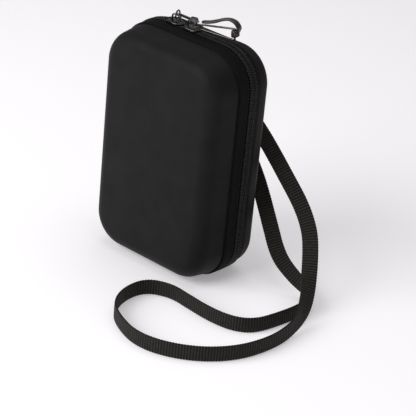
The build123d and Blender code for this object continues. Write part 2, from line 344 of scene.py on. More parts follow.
def outline_at(distance):
    """Point and outward normal in XZ, from the middle of the hinge side, going up and over the top."""
    d = (distance + straight_side / 2) % perimeter
    inner_x, inner_z = half_width - corner_radius, half_height - corner_radius
    runs = (
        (straight_side, (-half_width, -inner_z), (0, 1), (-1, 0)),
        (arc, (-inner_x, inner_z), None, 180),
        (straight_top, (-inner_x, half_height), (1, 0), (0, 1)),
        (arc, (inner_x, inner_z), None, 90),
        (straight_side, (half_width, inner_z), (0, -1), (1, 0)),
        (arc, (inner_x, -inner_z), None, 0),
        (straight_top, (inner_x, -half_height), (-1, 0), (0, -1)),
        (arc, (-inner_x, -inner_z), None, -90),
    )
    for length, start, direction, normal in runs:
        if d <= length:
            break
        d -= length
    if direction is None:
        angle = math.radians(normal) - d / corner_radius
        nx, nz = math.cos(angle), math.sin(angle)
        return start[0] + nx * corner_radius, start[1] + nz * corner_radius + half_height, nx, nz
    x, z = start[0] + direction[0] * d, start[1] + direction[1] * d + half_height
    return x, z, normal[0], normal[1]


def outline_frame(distance):
    """Point on the outline, its outward normal and the direction along it."""
    x, z, nx, nz = outline_at(distance)
    return Vector((x, 0, z)), Vector((nx, 0, nz)), Vector((nz, 0, -nx))


def on_outline(distance, inset, y):
    point, normal, _ = outline_frame(distance)
    return point - normal * inset + Vector((0, y, 0))


def stations(start, stop, step):
    count = max(2, round((stop - start) / step) + 1)
    return [start + (stop - start) * i / (count - 1) for i in range(count)]


def ring_parts(distances, section, closed):
    """Sweeps a closed section of (inset, y) points round the outline, with cloth coordinates in metres."""
    across = [0.0]
    for (i0, y0), (i1, y1) in zip(section, section[1:]):
        across.append(across[-1] + math.hypot(i1 - i0, y1 - y0))
    points = [on_outline(d, inset, y) for d in distances for inset, y in section]
    lay = [(d * MM, a * MM, 0) for d in distances for a in across]
    return points, loft_faces(len(distances), len(section), closed), lay


def outline_seam(distances, inset, y, pitch, length, radius, facing=1):
    """Stitches round the outline, on its outer or inner side."""
    line = [on_outline(d, inset, y) for d in distances]
    normals = [outline_frame(d)[1] * facing for d in distances]
    return stitch_parts(line, normals, pitch, length, radius)


# ----------------------------------------------------------------- materials

class Shader:
    """A principled material whose nodes are added one call at a time."""

    def __init__(self, name, color, roughness, metallic=0.0, **fixed):
        self.material = bpy.data.materials.new(name)
        self.material.use_nodes = True
        self.tree = self.material.node_tree
        self.bsdf = self.tree.nodes["Principled BSDF"]
        self.bsdf.inputs["Base Color"].default_value = (*color, 1)
        self.bsdf.inputs["Roughness"].default_value = roughness
        self.bsdf.inputs["Metallic"].default_value = metallic
        for socket, value in fixed.items():
            self.bsdf.inputs[socket.replace("_", " ")].default_value = value
        self.height = None

    def node(self, kind, **values):
        node = self.tree.nodes.new(kind)
        for key, value in values.items():
            setattr(node, key, value)
        return node

    def join(self, source, target):
        self.tree.links.new(source, target)

    def place(self, scale=(1, 1, 1), cloth=False):
        """Coordinates in metres: the piece's, or the cloth's own."""
        if cloth:
            source = self.node("ShaderNodeAttribute", attribute_name="lay").outputs["Vector"]
        else:
            source = self.node("ShaderNodeTexCoord").outputs["Object"]
        mapping = self.node("ShaderNodeMapping")
        mapping.inputs["Scale"].default_value = scale
        self.join(source, mapping.inputs["Vector"])
        return mapping.outputs["Vector"]

    def noise(self, scale, detail=3.0, stretch=(1, 1, 1), cloth=False, rough=0.55):
        node = self.node("ShaderNodeTexNoise")
        node.inputs["Scale"].default_value = scale
        node.inputs["Detail"].default_value = detail
        node.inputs["Roughness"].default_value = rough
        self.join(self.place(stretch, cloth), node.inputs["Vector"])
        return node.outputs["Fac"]

    def cells(self, scale, feature="F1"):
        node = self.node("ShaderNodeTexVoronoi", feature=feature)
        node.inputs["Scale"].default_value = scale
        self.join(self.place(), node.inputs["Vector"])
        return node.outputs["Distance"]

    def wave(self, pitch, axis="X", cloth=True, distortion=0.0):
        """Bands one pitch apart, in metres."""
        node = self.node("ShaderNodeTexWave", wave_type="BANDS", bands_direction=axis)
        node.inputs["Scale"].default_value = math.pi / 10 / pitch
        node.inputs["Distortion"].default_value = distortion
        self.join(self.place(cloth=cloth), node.inputs["Vector"])
        return node.outputs["Fac"]

    def mix(self, one, two, operation="MULTIPLY"):
        node = self.node("ShaderNodeMath", operation=operation)
        for value, socket in ((one, node.inputs[0]), (two, node.inputs[1])):
            if isinstance(value, (int, float)):
                socket.default_value = value
            else:
                self.join(value, socket)
        return node.outputs[0]

    def ramp(self, value, low, high, dark, light):
        node = self.node("ShaderNodeValToRGB")
        for stop, place, color in zip(node.color_ramp.elements, (low, high), (dark, light)):
            stop.position = place
            stop.color = (*color, 1)
        self.join(value, node.inputs["Fac"])
        return node.outputs["Color"]

    def tint(self, value, dark, light, low=0.3, high=0.7):
        self.join(self.ramp(value, low, high, dark, light), self.bsdf.inputs["Base Color"])

    def shine(self, value, rough_low, rough_high):
        node = self.node("ShaderNodeMapRange")
        node.inputs["To Min"].default_value, node.inputs["To Max"].default_value = rough_low, rough_high
        self.join(value, node.inputs["Value"])
        self.join(node.outputs["Result"], self.bsdf.inputs["Roughness"])

    def bump(self, value, distance):
        node = self.node("ShaderNodeBump")
        node.inputs["Distance"].default_value = distance
        self.join(value, node.inputs["Height"])
        if self.height is not None:
            self.join(self.height, node.inputs["Normal"])
        self.join(node.outputs["Normal"], self.bsdf.inputs["Normal"])
        self.height = node.outputs["Normal"]


def grey(value, warm=0.0):
    return (value * (1 + warm), value, value * (1 - warm))


def shell_fabric():
    s = Shader("shell_fabric", grey(0.012), 0.6, Specular_IOR_Level=0.09)
    s.tint(s.noise(60, 4, rough=0.6), grey(0.0075, 0.02), grey(0.0115, 0.02))
    s.shine(s.noise(900, 3), 0.46, 0.58)
    s.bump(s.noise(140, 2), 0.00012)
    s.bump(s.cells(2600), 0.00004)
    return s.material


def zip_tape():
    s = Shader("zip_tape", grey(0.006), 0.75, Specular_IOR_Level=0.09)
    ribs = s.wave(0.00078, "X")
    yarn = s.wave(0.00042, "Y", distortion=1.5)
    s.tint(s.mix(ribs, s.noise(700, 2, cloth=True)), grey(0.0015), grey(0.011), 0.1, 0.6)
    s.bump(ribs, 0.00014)
    s.bump(yarn, 0.00006)
    return s.material


def zip_base_gap_shade():
    # The base cord under the teeth is darker than the coil nylon: painted shade in the gaps between the
    # teeth.
    s = Shader("zip_base_gap_shade", grey(0.002), 0.9, Specular_IOR_Level=0.05)
    s.tint(s.noise(1200, 3), grey(0.001), grey(0.003))
    s.bump(s.cells(1800), 0.0001)
    return s.material


def coil_nylon():
    s = Shader("coil_nylon", grey(0.008), 0.24, Specular_IOR_Level=0.32)
    s.tint(s.noise(500, 2), grey(0.003), grey(0.008))
    s.shine(s.noise(1500, 3), 0.2, 0.34)
    s.bump(s.noise(2200, 3), 0.00003)
    return s.material


def thread():
    s = Shader("thread", grey(0.03), 0.55, Sheen_Weight=0.05)
    s.tint(s.noise(1800, 3), grey(0.01), grey(0.028))
    s.bump(s.wave(0.0003, "DIAGONAL", cloth=False), 0.00006)
    return s.material


def gunmetal():
    s = Shader("gunmetal", grey(0.1, 0.03), 0.2, 1.0)
    s.tint(s.noise(300, 4), grey(0.05, 0.02), grey(0.13, 0.04))
    s.shine(s.noise(900, 5, (1, 4, 1)), 0.14, 0.34)
    s.bump(s.noise(2500, 3), 0.000012)
    return s.material


def black_nickel():
    s = Shader("black_nickel", grey(0.04), 0.24, 1.0)
    s.tint(s.noise(250, 4), grey(0.025), grey(0.055, 0.02))
    s.shine(s.noise(1200, 4, (3, 1, 1)), 0.18, 0.36)
    s.bump(s.noise(2500, 3), 0.000012)
    return s.material


def webbing():
    s = Shader("webbing", grey(0.008, 0.05), 0.55, Sheen_Weight=0.02, Sheen_Roughness=0.4,
               Specular_IOR_Level=0.18)
    ribs = s.wave(strap_rib * MM, "X")
    fine = s.wave(0.00034, "Y", distortion=0.6)
    worn = s.mix(s.noise(500, 3, cloth=True), 1.4)
    s.tint(s.mix(ribs, worn), grey(0.0015, 0.1), grey(0.026, 0.16), 0.05, 0.75)
    s.shine(s.noise(800, 2, cloth=True), 0.48, 0.66)
    s.bump(fine, 0.00007)
    return s.material


def lining_knit():
    s = Shader("lining_knit", grey(0.04), 0.92, Sheen_Weight=0.35, Sheen_Roughness=0.5)
    s.tint(s.noise(420, 4), grey(0.028), grey(0.06))
    s.bump(s.cells(1300), 0.00012)
    s.bump(s.noise(3500, 2), 0.00008)
    return s.material


def foam():
    s = Shader("eva_foam", grey(0.05), 0.9)
    s.tint(s.noise(900, 4), grey(0.035), grey(0.065))
    s.bump(s.cells(1500), 0.0001)
    return s.material


def binding_tape():
    s = Shader("binding_tape", grey(0.01), 0.78, Sheen_Weight=0.03, Specular_IOR_Level=0.25)
    weave = s.mix(s.wave(0.0006, "X"), s.wave(0.0006, "Y"))
    s.tint(weave, grey(0.006), grey(0.016), 0.0, 0.8)
    s.bump(weave, 0.00012)
    return s.material


def gusset_cloth():
    s = Shader("gusset_cloth", grey(0.01), 0.8, Sheen_Weight=0.03, Specular_IOR_Level=0.25)
    weave = s.mix(s.wave(0.0007, "X"), s.wave(0.0007, "Y"))
    s.tint(s.mix(weave, s.noise(300, 3, cloth=True), "ADD"), grey(0.005), grey(0.016), 0.3, 1.2)
    s.bump(weave, 0.00014)
    return s.material


def elastic():
    s = Shader("elastic", grey(0.03), 0.7, Sheen_Weight=0.15)
    ribs = s.wave(0.0011, "Y")
    s.tint(s.mix(ribs, s.wave(0.0005, "X")), grey(0.014), grey(0.05), 0.0, 0.8)
    s.bump(ribs, 0.00025)
    return s.material


def net_yarn():
    s = Shader("net_yarn", grey(0.035), 0.7, Sheen_Weight=0.15)
    s.tint(s.noise(1500, 3), grey(0.02), grey(0.05))
    s.bump(s.noise(4000, 2), 0.00006)
    return s.material


def grained_leather(name, dark, light, rough):
    s = Shader(name, light, rough, Specular_IOR_Level=0.5, Coat_Weight=0.08, Coat_Roughness=0.3)
    s.tint(s.noise(260, 4), dark, light)
    s.shine(s.noise(700, 3), rough - 0.08, rough + 0.1)
    s.bump(s.cells(1900, feature="DISTANCE_TO_EDGE"), 0.00005)
    s.bump(s.noise(120, 2), 0.0001)
    return s.material


strap_rib = 1.72            # pitch of the ribs across the webbing

shell_cloth, tape_cloth, base_cord_gap_shade, coil_plastic = shell_fabric(), zip_tape(), zip_base_gap_shade(), coil_nylon()
sewing_thread, pull_metal, ring_metal, strap_cloth = thread(), gunmetal(), black_nickel(), webbing()
lining_cloth, core_foam, rim_tape, hinge_cloth = lining_knit(), foam(), binding_tape(), gusset_cloth()
elastic_cloth, pocket_yarn = elastic(), net_yarn()
patch_hide = grained_leather("patch_leather", grey(0.006), grey(0.014), 0.5)
thong_hide = grained_leather("thong_leather", (0.006, 0.005, 0.0045), (0.015, 0.012, 0.010), 0.3)
for material, names in (
    (lining_cloth, ("rear_lining", "front_lining")), (base_cord_gap_shade, ("rear_zip_coil", "front_zip_coil")),
    (elastic_cloth, ("elastic_anchors",)), (rim_tape, ("pocket_binding",)),
    (ring_metal, ("gate_pin", "clasp_swivel", "clasp_gate")),
):
    for name in names:
        cad = frame["nodes"][name].data
        cad.materials.clear()
        cad.materials.append(material)

# -------------------------------------------------------------------- shells

shell_inset = 1.2           # the wall at the rim, inside the zip band
wall_start = 1.4            # distance from the rim where the wall begins to lean
fabric_thickness = 0.5
foam_depth, foam_thickness = 0.6, 1.6
front_shape = (10.0, 8.0, 1.3)      # edge radius, lean of the wall in degrees, rise of the dome
rear_shape = (6.5, 4.0, 0.5)


def shell_profile(depth, edge_radius, draft, dome):
    """(inset, distance from the rim) from under the tape to the edge of the domed face."""
    lean, last = math.radians(draft), math.radians(86)
    profile = [(3.3, -1.3), (3.0, -0.5), (2.5, 0.02), (1.95, 0.18), (1.5, 0.5), (1.28, 1.0), (1.22, 1.6)]
    wall_from = profile[-1][1]
    centre = depth - dome - edge_radius
    wall_to = centre + edge_radius * math.sin(lean)
    for share in (0.2, 0.4, 0.6, 0.8):
        d = wall_from + (wall_to - wall_from) * share
        profile.append((shell_inset + (d - wall_start) * math.tan(lean), d))
    centre_inset = shell_inset + (wall_to - wall_start) * math.tan(lean) + edge_radius * math.cos(lean)
    for k in range(13):
        angle = lean + (last - lean) * k / 12
        profile.append((centre_inset - edge_radius * math.cos(angle), centre + edge_radius * math.sin(angle)))
    return profile


def build_shell_layer(name, rim, end, shape, depth_in, thickness, material, body, slot, node):
    """One layer of the moulded wall, depth_in below the outside of the shell."""
    towards = 1 if end > rim else -1
    distances = stations(0, perimeter, 1.6)[:-1]
    rows = []
    for inset, out in shell_profile(abs(end - rim), *shape):
        sunk = depth_in if out > 0.1 else 0.0
        rows.append([on_outline(d, inset + depth_in, rim + towards * (out - sunk)) for d in distances])
    edge = rows[-1]
    edge_y, face_y = edge[0].y, end - towards * depth_in
    for share in (0.06, 0.14, 0.24, 0.36, 0.5, 0.64, 0.78, 0.9, 0.97):
        keep = 1 - share
        y = edge_y + (face_y - edge_y) * (1 - keep ** 2)
        rows.append([Vector((p.x * keep, y, half_height + (p.z - half_height) * keep)) for p in edge])
    faces = grid_faces(len(rows), len(distances), wrap_columns=True)
    faces.append(tuple((len(rows) - 1) * len(distances) + k for k in range(len(distances))))
    layer = outward(piece(name, [p for row in rows for p in row], faces, material))
    add_thickness(layer, thickness)
    attach(layer, body, slot, node)


def build_shells():
    for side, rim, end, shape, body in (("front", front_rim, front_end, front_shape, "lid"),
                                        ("rear", rear_rim, rear_end, rear_shape, "rear_case")):
        build_shell_layer(f"{side}_shell_cover", rim, end, shape, 0.0, fabric_thickness, shell_cloth,
                          body, "shell_fabric", f"{side}_cover")
        build_shell_layer(f"{side}_foam_core", rim, end, shape, foam_depth, foam_thickness, core_foam,
                          body, "eva_foam", f"{side}_core")


# ----------------------------------------------------------------------- zip

tooth_pitch = 1.55
tooth_rise = 0.8            # how far the coil stands out of the outline
coil_margin = 3.8           # from the end of the tape to the first tooth
coil_middle = -0.3          # Y where the two coil halves meet
tape_seam = 1.0             # from the tape's edge to its stitches
# Half length along the zip and half rise of a tooth, at each distance from the middle of the zip
tooth_shape = (
    (-0.42, 0.05, 0.05), (-0.36, 0.26, 0.3), (-0.1, 0.4, 0.5), (0.35, 0.42, 0.54), (0.8, 0.32, 0.46),
    (1.5, 0.28, 0.42), (2.1, 0.3, 0.44), (2.6, 0.38, 0.58), (2.95, 0.36, 0.5), (3.15, 0.2, 0.25),
    (3.2, 0.05, 0.08),
)


def tape_section(edge, rim):
    """(inset, y) of the tape's section: outside from the coil to the rim, then back inside."""
    towards = 1 if rim > edge else -1
    span = abs(rim - edge)
    outer = [(0.6, 0.4), (0.1, 0.35), (-0.12, 0.6), (-0.15, 1.1), (0.0, span * 0.4), (0.0, span * 0.65),
             (0.05, span - 1.0), (0.3, span - 0.35), (0.85, span), (1.5, span + 0.1)]
    inner = [(1.7, span - 0.2), (1.25, span - 1.0), (1.2, span * 0.5), (1.2, 0.5)]
    return [(inset, edge + towards * y) for inset, y in outer + inner]


def build_tapes():
    distances = stations(zip_start, zip_stop, 1.5)
    for side, edge, rim, towards, body in (("front", front_coil_edge, front_rim, -1, "lid"),
                                           ("rear", rear_coil_edge, rear_rim, 1, "rear_case")):
        closed_piece(f"{side}_tape_cloth", ring_parts(distances, tape_section(edge, rim), False), tape_cloth,
                     body, "zip_tape", f"{side}_zip_tape")
        sew(f"{side}_tape_stitch_inner", body, "zip_tape",
            outline_seam(distances, 0.0, edge + towards * tape_seam, 2.1, 1.5, 0.17))


def tooth_parts(distance, towards, proud):
    """One turn of the nylon coil: a bar from the tape's edge to just past the middle, with a fat head."""
    spot, normal, along = outline_frame(distance)
    axis = spot + normal * (proud - 0.5)
    points = []
    for y, half, rise in tooth_shape:
        centre = axis + Vector((0, towards * y + (coil_middle if y < 1.0 else 0.0), 0))
        points.extend(centre + along * a + normal * b for a, b in circle(half, 8, rise))
    return points, loft_faces(len(tooth_shape), 8)


def thread_parts(distance, towards, proud):
    """The two threads that hold a tooth down to the tape."""
    spot, normal, along = outline_frame(distance)
    threads = []
    for y in (1.55, 2.35):
        centre = spot + Vector((0, towards * y, 0)) + normal * (proud - 0.16)
        reach, drop = along * 0.62, normal * 0.2
        threads.append(tube_parts([centre - reach - drop, centre, centre + reach - drop], 0.15, sides=5))
    return threads


def build_coil():
    first, last = zip_start + coil_margin, zip_stop - coil_margin
    count = round((last - first) / tooth_pitch)
    pitch = (last - first) / count
    for side, towards, body, teeth, shift in (("front", -1, "lid", count + 1, 0.0),
                                              ("rear", 1, "rear_case", count, 0.5)):
        parts, threads = [], []
        for i in range(teeth):
            distance = first + (i + shift) * pitch
            underneath = max(0.0, -outline_frame(distance)[1].z)
            # Near the hinge the coil sinks, so that the two halves clear each other when the lid is open
            past_corner = max(0.0, min(distance - first, last - distance) + 1.8)
            sunk = past_corner ** 2 / (2 * corner_radius) - 0.04
            proud = min(tooth_rise * (1 - underneath) + 0.02, sunk)
            parts.append(tooth_parts(distance, towards, proud))
            threads.extend(thread_parts(distance, towards, proud))
        closed_piece(f"{side}_coil_teeth", merged(parts), coil_plastic, body, "zip_coil")
        sew(f"{side}_coil_thread", body, "zip_coil", *threads)


# -------------------------------------------------------------------- gusset

gusset_overrun = 3.4        # past the ends of the CAD gusset, over the ends of the zip
gusset_inset = 0.14
gusset_thickness = 0.9
fold_depth = 0.5            # the crease along the hinge line


def build_gusset():
    rows = stations(gusset_low - gusset_overrun, gusset_high + gusset_overrun, 1.4)
    span = stations(front_rim - 0.3, rear_rim + 0.3, 0.7)
    middle, half_span = (front_rim + rear_rim) / 2, (rear_rim - front_rim) / 2
    outer, lay = [], []
    rng = random.Random(4)
    phases = [rng.uniform(0, 6.28) for _ in range(3)]
    for z in rows:
        for y in span:
            fold = fold_depth * math.exp(-(y / 0.9) ** 2)
            edge = 0.9 * max(0.0, (abs(y - middle) - half_span + 0.8)) ** 1.5
            ripple = 0.1 * (math.sin(z * 0.33 + phases[0]) + math.sin(z * 0.71 + y * 0.4 + phases[1]))
            inset = gusset_inset + fold + edge + ripple * math.exp(-(y / 4) ** 2)
            outer.append(Vector((-half_width + inset, y, z)))
            lay.append((z * MM, y * MM, 0))
    gusset = piece("hinge_gusset", outer, grid_faces(len(rows), len(span)), hinge_cloth, lay)
    gusset.data.flip_normals()
    thicken(gusset, gusset_thickness)
    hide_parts("front_hinge_gusset", "rear_hinge_gusset")
    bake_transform(gusset)
    for side, y, body in (("front", front_rim + 1.6, "lid"), ("rear", rear_rim - 1.6, "rear_case")):
        line = [Vector((-half_width + 0.1, y, z)) for z in rows[1:-1]]
        sew(f"{side}_gusset_stitch", body, "gusset_fabric", stitch_parts(line, (-1, 0, 0), 2.8, 2.0, 0.22))


# --------------------------------------------------------- sliders and pulls

plate_low, plate_high = 0.95, 2.05                  # heights above the top of the case
lower_plate_low, lower_plate_high = -4.4, -3.4
# Half outlines of the plates, of the post between them and of the boss on top
plate_half = [(-5.5, 2.6), (-5.1, 3.2), (-3.8, 3.5), (-1.0, 3.9), (1.2, 4.15), (2.6, 3.9), (4.3, 2.9),
              (5.3, 1.9), (5.5, 1.2)]
post_half = [(1.5, 0.5), (3.0, 0.75), (4.5, 0.3)]
boss_half = [(-4.4, 0.9), (-1.5, 1.25), (1.5, 1.25), (4.3, 0.7)]
lip_low = 0.22
crown_foot, crown_top = 1.9, 6.0
crown_half_length, crown_wire = 3.4, 0.7
link_radius, link_wire = 2.7, 0.5
pull_length, near_half, far_half = 25.0, 1.9, 4.1   # the pull's outer size
pull_wire, pull_corner = 0.6, 0.9
hinge_step = 1.4            # from the middle of the link to the pull's near bar
right_link_step, left_link_step, left_link_drop = 2.8, 1.2, 0.2
right_pull_yaw, right_pull_lean = 12.0, -3.3
left_pull_yaw, left_pull_droop = 15.0, 26.0
thong_half_width = 2.1
wrap_radius = 1.7           # middle of the leather that goes round the pull's far bar


def build_slider(side):
    low, high = box(f"{side}_slider_body")
    seat = move((low.x + high.x) / 2, 0, height) @ turn("Z", 0 if side == "left" else 180)
    halves = plate_half, post_half, boss_half
    plate, post, boss = (half + [(x, -y) for x, y in half[::-1]] for half in halves)
    parts = [
        plate_parts(plate, plate_low, plate_high, 0.35),
        plate_parts(plate, lower_plate_low, lower_plate_high, 0.3),
        plate_parts(post, lower_plate_low + 0.4, plate_low + 0.55, 0.1),
        plate_parts(boss, plate_high - 0.15, plate_high + 0.3, 0.3),
    ]
    for y in (-3.75, 3.0):
        lip = [(-4.8, y), (1.9, y), (2.3, y + 0.75), (-4.8, y + 0.75)]
        parts.append(plate_parts(lip, lip_low, plate_low + 0.55, 0.12))
    closed_piece(f"{side}_slider", placed(merged(parts), seat), pull_metal,
                 f"{side}_slider", "gunmetal", f"{side}_slider_body")
    reach = crown_half_length
    arch = rounded_path([(-reach, 0, crown_foot), (-reach, 0, crown_top), (reach, 0, crown_top),
                         (reach, 0, crown_foot)], 1.7, closed=False)
    crown = tube_parts(arch, crown_wire, sides=14, flat=0.62, across=(0, 1, 0))
    closed_piece(f"{side}_crown", placed(crown, seat), pull_metal,
                 f"{side}_slider", "gunmetal", f"{side}_slider_crown")


def build_pull(side, link_place, frame_place):
    """The ring through the crown, and the pull's wire frame with its near bar at the frame's origin."""
    ring = tube_parts([(x, y, 0) for x, y in circle(link_radius, 28)], link_wire, closed=True)
    closed_piece(f"{side}_link", placed(ring, link_place), pull_metal,
                 f"{side}_pull", "gunmetal", f"{side}_pull_link")
    near, far, reach = near_half - pull_wire, far_half - pull_wire, pull_length - pull_wire
    corners = [(0, -near, 0), (reach, -far, 0), (reach, far, 0), (0, near, 0)]
    wire = tube_parts(rounded_path(corners, pull_corner), pull_wire + 0.02, closed=True)
    closed_piece(f"{side}_pull_wire", placed(wire, frame_place), pull_metal,
                 f"{side}_pull", "gunmetal", f"{side}_pull_frame")


def round_end(share):
    """Full width, closing to a rounded tip in the last tenth."""
    return math.sqrt(max(0.02, 1 - max(0.0, (share - 0.9) / 0.1) ** 2))


def build_right_thong(frame_place):
    """Leather folded round the upright far bar, then flopped back over the pull."""
    bar = frame_place @ move(pull_length - pull_wire, 0, 0)
    flop = [(-1.3, 0.95, 0.5), (-0.1, 1.8, 0.6), (1.5, 1.2, 1.2), (2.5, 0.2, 3.2), (2.3, -0.4, 5.6),
            (0.4, -0.7, 7.9), (-3.2, -0.9, 9.0), (-7.5, -1.0, 8.2), (-12.5, -1.3, 6.2), (-17.5, -1.5, 4.7),
            (-22.2, -1.5, 4.0)]
    flop_turns = [(0, 0, 1), (0, 0, 1), (0.1, 0.35, 0.9), (0.1, 0.8, 0.6), (0, 1, 0.2), (0, 1, 0),
                  (0, 1, -0.1), (0, 1, 0), (0, 1, 0.1), (0, 1, 0), (0, 1, 0)]
    back = [(-1.3, -1.25, 0.5), (-0.1, -1.8, 0.6), (1.6, -1.3, 1.2), (2.0, -0.7, 2.6)]
    back_turns = [(0, 0, 1), (0, 0, 1), (0.1, 0.2, 0.9), (0.1, 0.6, 0.6)]
    parts = []
    for line, turns, taper in ((flop, flop_turns, round_end), (back, back_turns, None)):
        strip = strip_parts(smooth_path(line, 7), smooth_path(turns, 7), thong_half_width, 0.75, taper)
        parts.append(strip[:2])
    angles = [math.radians(degrees) for degrees in range(95, 266, 17)]
    wrap = [(wrap_radius * math.cos(a), wrap_radius * math.sin(a), 0.5) for a in angles]
    parts.append(strip_parts(wrap, [(0, 0, 1)] * len(wrap), 2.0, 0.7)[:2])
    closed_piece("right_thong", placed(merged(parts), bar), thong_hide,
                 "right_thong", "thong_leather", "right_pull_thong")


def build_left_thong(frame_place):
    """Leather folded over the far bar, both layers hanging down and sewn together."""
    bar = frame_place @ move(0, pull_length - pull_wire, 0) @ turn("X", left_pull_droop)
    front = [(0.9, -1.5), (1.75, -0.3), (1.2, 1.3), (0, 1.75), (-1.2, 1.3), (-1.7, -0.3), (-0.9, -1.8),
             (-0.15, -4.5), (0.0, -8.0), (0.1, -15.0), (0.0, -22.0), (0.1, -26.5)]
    rear = [(0.9, -1.5), (1.0, -4.5), (1.15, -8.0), (1.25, -15.0), (1.15, -22.0), (1.25, -26.5)]
    parts = []
    for line in (front, rear):
        path = smooth_path([(0, y, z) for y, z in line], 7)
        parts.append(strip_parts(path, [(1, 0, 0)] * len(path), thong_half_width, 0.55, round_end)[:2])
    closed_piece("left_thong", placed(merged(parts), bar), thong_hide,
                 "left_thong", "thong_leather", "left_pull_thong")
    facing = tuple(bar.to_3x3() @ Vector((0, 1, 0)))
    seams = []
    for x in (-1.35, 1.35):
        line = [bar @ Vector((x, 1.82, -6.0 - k)) for k in range(20)]
        seams.append(stitch_parts(line, facing, 1.9, 1.3, 0.15))
    sew("left_thong_stitch", "left_thong", "thong_leather", *seams)


def build_pulls():
    build_slider("right")
    seat = move(*pivot("right_pull_swing"))
    turned = turn("Z", right_pull_yaw) @ turn("Y", right_pull_lean)
    frame_place = seat @ move(right_link_step + hinge_step, 0, 0) @ turned
    build_pull("right", seat @ move(right_link_step, 0, 0), frame_place @ turn("X", 90))
    build_right_thong(frame_place)

    build_slider("left")
    seat = move(*pivot("left_pull_swing")) @ turn("Z", left_pull_yaw)
    frame_place = seat @ move(0, left_link_step + hinge_step, -left_link_drop) @ turn("X", -left_pull_droop)
    link_place = seat @ move(0, left_link_step, -left_link_drop) @ turn("Y", 90)
    build_pull("left", link_place, frame_place @ turn("Z", 90))
    build_left_thong(frame_place)


# ------------------------------------------------------------------ interior

bead_inset, bead_half_wide, bead_half_deep = 3.1, 1.75, 1.5
elastic_thickness, hem_thickness = 0.9, 1.0
net_pitch, yarn_radius = 2.3, 0.24
net_corner = 8.0
border_half_width, border_half_thick = 2.1, 0.45


def build_bindings():
    distances = stations(0, perimeter, 2.0)[:-1]
    for side, rim, towards, body in (("front", front_rim, -1, "lid"), ("rear", rear_rim, 1, "rear_case")):
        bead = circle(bead_half_wide, 12, bead_half_deep)
        section = [(bead_inset + x, rim - towards * 0.1 + y) for x, y in bead]
        closed_piece(f"{side}_binding_bead", ring_parts(distances, section, True), rim_tape,
                     body, "binding_tape", f"{side}_binding")
        sew(f"{side}_binding_stitch", body, "binding_tape",
            outline_seam(distances, 4.4, rim - towards * 0.7, 2.8, 2.0, 0.24, facing=-1))


def panel_parts(low, high, shape, step=1.5):
    """A sheet in XZ between two corners; shape(u, v) gives its Y, with u and v from -1 to 1."""
    xs, zs = stations(low[0], high[0], step), stations(low[1], high[1], step)
    points, lay = [], []
    for z in zs:
        for x in xs:
            u = 2 * (x - low[0]) / (high[0] - low[0]) - 1
            v = 2 * (z - low[1]) / (high[1] - low[1]) - 1
            points.append(Vector((x, shape(u, v), z)))
            lay.append((x * MM, z * MM, 0))
    return points, grid_faces(len(zs), len(xs)), lay


def build_elastic_band():
    low, high = box("elastic_band")

    def end_dip(u):
        return 0.45 * max(0.0, (abs(u) - 0.8) / 0.2) ** 2

    def shape(u, v):
        return low.y + 0.1 + end_dip(u) + 0.12 * u * u

    points, faces, lay = panel_parts((low.x, low.z), (high.x, high.z), shape)
    band = piece("elastic_strap", points, faces, elastic_cloth, lay)
    thicken(band, elastic_thickness, 1.0)
    attach(band, "rear_case", "elastic", "elastic_band")
    seams = []
    for x in (low.x + 2, low.x + 5, high.x - 5, high.x - 2):
        y = low.y - 0.05 + end_dip(2 * (x - low.x) / (high.x - low.x) - 1)
        line = [Vector((x, y, z)) for z in stations(low.z + 1.5, high.z - 1.5, 1.0)]
        seams.append(stitch_parts(line, (0, -1, 0), 2.6, 1.8, 0.2))
    sew("elastic_stitch", "rear_case", "elastic", *seams)


def build_pocket_net():
    """Yarns crossing both ways, clipped to the pocket's rounded outline."""
    low, high = box("mesh_pocket")
    middle, half = (low.y + high.y) / 2, (high.x - low.x) / 2 - 2.5
    bottom, top = low.z + 2.5, high.z + 0.5
    tall = top - bottom

    def inside(x, z):
        dx, dz = abs(x) - (half - net_corner), (bottom + net_corner) - z
        return abs(x) <= half and not (dx > 0 and dz > 0 and math.hypot(dx, dz) > net_corner)

    def sag(x, z):
        return middle + 0.35 * math.cos(x / half * 1.5) * math.sin((z - bottom) / tall * math.pi)

    parts = []
    for slope, offset in ((1, 0.0), (-1, tall * 0.4)):
        start = -half - tall
        while start < half + tall:
            line = []
            for k in range(int(tall) + 1):
                x, z = start + slope * k * 0.75 + offset, bottom + k
                if inside(x, z):
                    line.append(Vector((x, sag(x, z) + 0.12 * slope, z)))
            if len(line) > 2:
                parts.append(tube_parts(line, yarn_radius, sides=5))
            start += net_pitch
    attach(piece("pocket_net", *merged(parts), pocket_yarn), "lid", "pocket_mesh", "mesh_pocket")


def build_pocket_edges():
    """The elastic hem along the top, and the sewn border round the other three sides."""
    low, high = box("pocket_hem")

    def shape(u, v):
        return high.y - 0.35 - 0.35 * abs(v) ** 3

    points, faces, lay = panel_parts((low.x, low.z - 0.4), (high.x, high.z), shape)
    hem = piece("pocket_elastic_hem", points, faces, elastic_cloth, lay)
    thicken(hem, hem_thickness)
    attach(hem, "lid", "elastic", "pocket_hem")

    low, high = box("pocket_binding")
    left, right, bottom, y = low.x + 2, high.x - 2, low.z + 2, high.y + 1.0
    corners = [(left, y, high.z), (left, y, bottom), (right, y, bottom), (right, y, high.z)]
    edge = rounded_path(corners, net_corner, closed=False)
    path = []
    for a, b in zip(edge, edge[1:]):
        steps = max(1, round((b - a).length / 2.0))
        path.extend(a.lerp(b, k / steps) for k in range(steps))
    path.append(edge[-1])
    last = len(path) - 1
    tangents = [(path[min(i + 1, last)] - path[max(i - 1, 0)]).normalized() for i in range(last + 1)]
    acrosses = [tangent.cross(Vector((0, 1, 0))) for tangent in tangents]
    closed_piece("pocket_border", strip_parts(path, acrosses, border_half_width, border_half_thick), rim_tape,
                 "lid", "binding_tape")
    line = [p + Vector((0, border_half_thick + 0.01, 0)) for p in path]
    sew("pocket_stitch", "lid", "binding_tape", stitch_parts(line, (0, 1, 0), 2.6, 1.8, 0.2))


